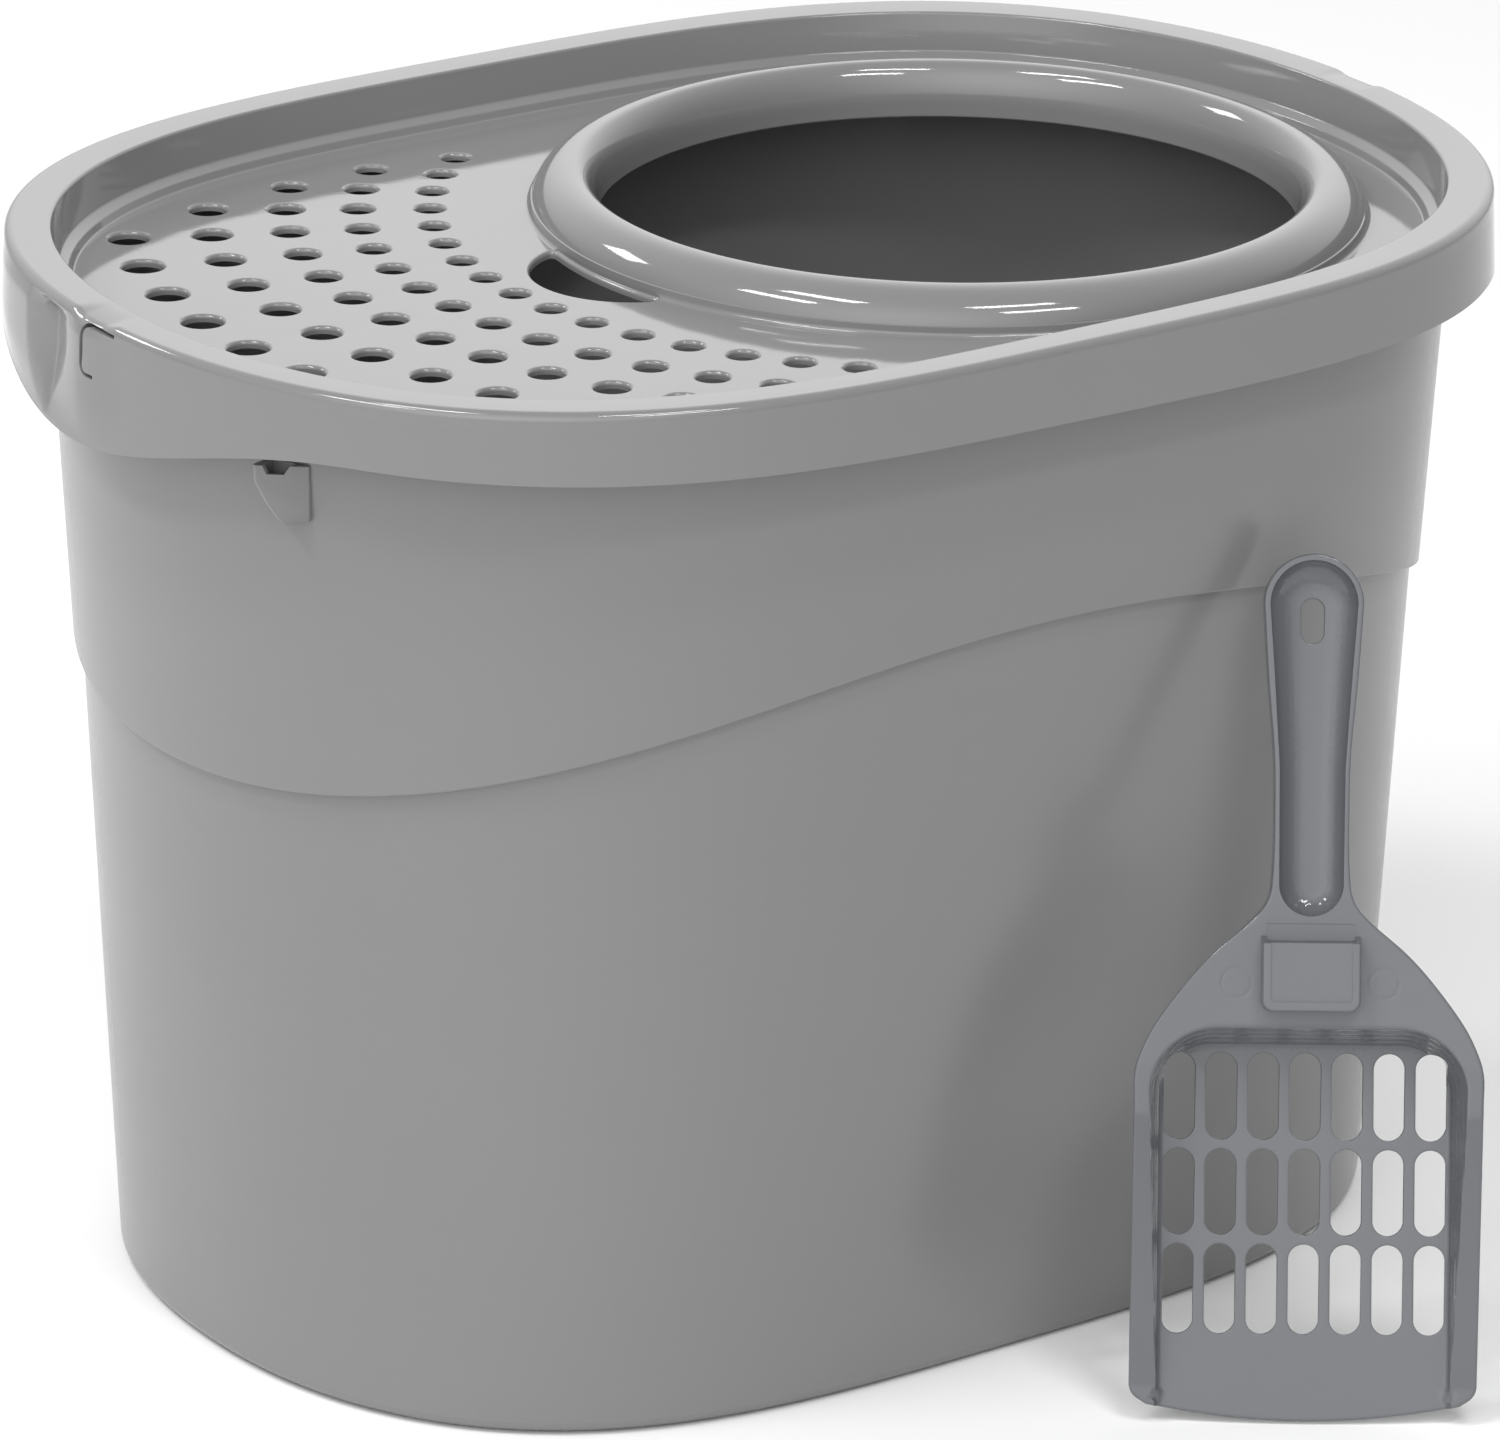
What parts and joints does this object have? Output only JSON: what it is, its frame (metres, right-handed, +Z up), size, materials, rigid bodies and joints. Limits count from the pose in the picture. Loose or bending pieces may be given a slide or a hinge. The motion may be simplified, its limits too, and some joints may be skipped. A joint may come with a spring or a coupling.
{
  "type": "cat litter box",
  "caption": "Top-entry cat litter box: deep oval tub, lift-off lid with a raised round entry and a perforated deck, and a slotted scoop.",
  "frame": {"origin": "middle of the tub's flat underside", "axes": "+X along the box's long axis towards the round entry, +Z up, the scoop leans on the -Y side"},
  "size_m": [0.5244, 0.4855, 0.373],
  "materials": {
    "tub_plastic": "semi-gloss moulded grey polypropylene",
    "lid_plastic": "glossy moulded grey polypropylene",
    "scoop_plastic": "glossy smoke-grey polypropylene, slightly translucent"
  },
  "bodies": {
    "tub_body": {"tub": "tub_plastic"},
    "lid_body": {"lid": "lid_plastic"},
    "scoop_body": {"scoop": "scoop_plastic"}
  },
  "joints": [
    {"name": "lid_lift", "type": "slide", "parent": "tub_body", "child": "lid_body", "axis": [0, 0, 1], "range_m": [0, 0.2]},
    {"name": "scoop_take", "type": "slide", "parent": "tub_body", "child": "scoop_body", "axis": [-0.5743, -0.8187, 0], "range_m": [0, 0.2]}
  ]
}
